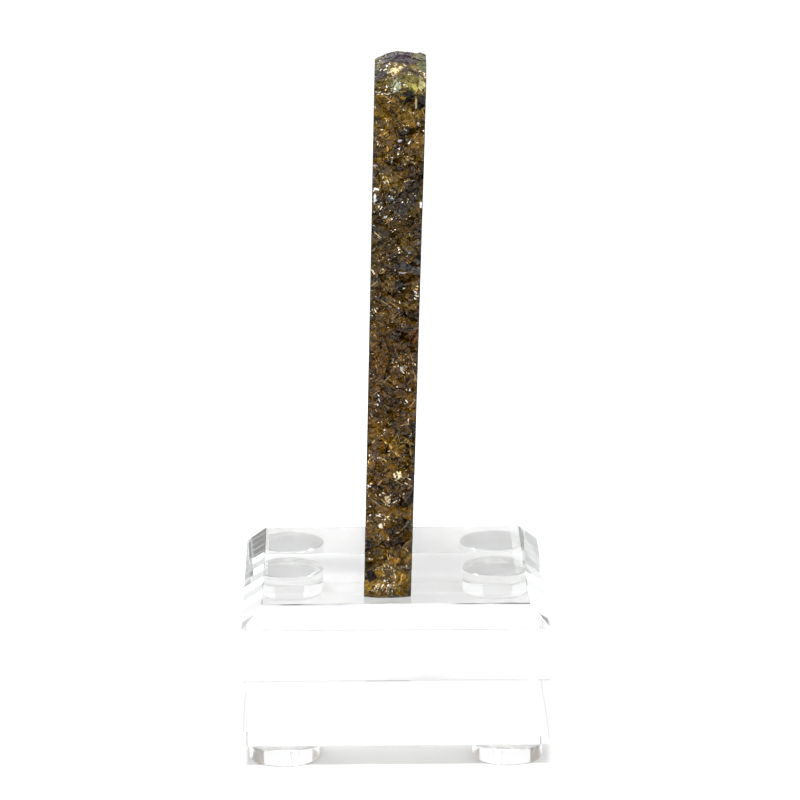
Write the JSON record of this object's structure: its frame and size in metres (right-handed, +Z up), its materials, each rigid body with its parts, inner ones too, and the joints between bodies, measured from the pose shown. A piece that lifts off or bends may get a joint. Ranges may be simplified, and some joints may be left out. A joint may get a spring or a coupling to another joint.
{
  "type": "fluorite slice on stand",
  "caption": "Upright sawn slab of golden-brown fluorite with polished faces and a broken rim, standing on a clear bevelled square block with disc feet.",
  "frame": {"origin": "on the ground under the middle of the square block", "axes": "+Z up, along the slab's height; the slab's narrow front edge faces -Y, its polished faces face -X and +X"},
  "size_m": [0.065, 0.065, 0.1486],
  "materials": {
    "fluorite": "translucent golden-brown fluorite, polished faces and glassy broken rim",
    "clear_acrylic": "water-clear polished acrylic"
  },
  "bodies": {
    "root": {"fluorite_slice": "fluorite", "acrylic_block": "clear_acrylic", "foot_front_left": "clear_acrylic", "foot_front_right": "clear_acrylic", "foot_rear_left": "clear_acrylic", "foot_rear_right": "clear_acrylic"}
  },
  "joints": []
}
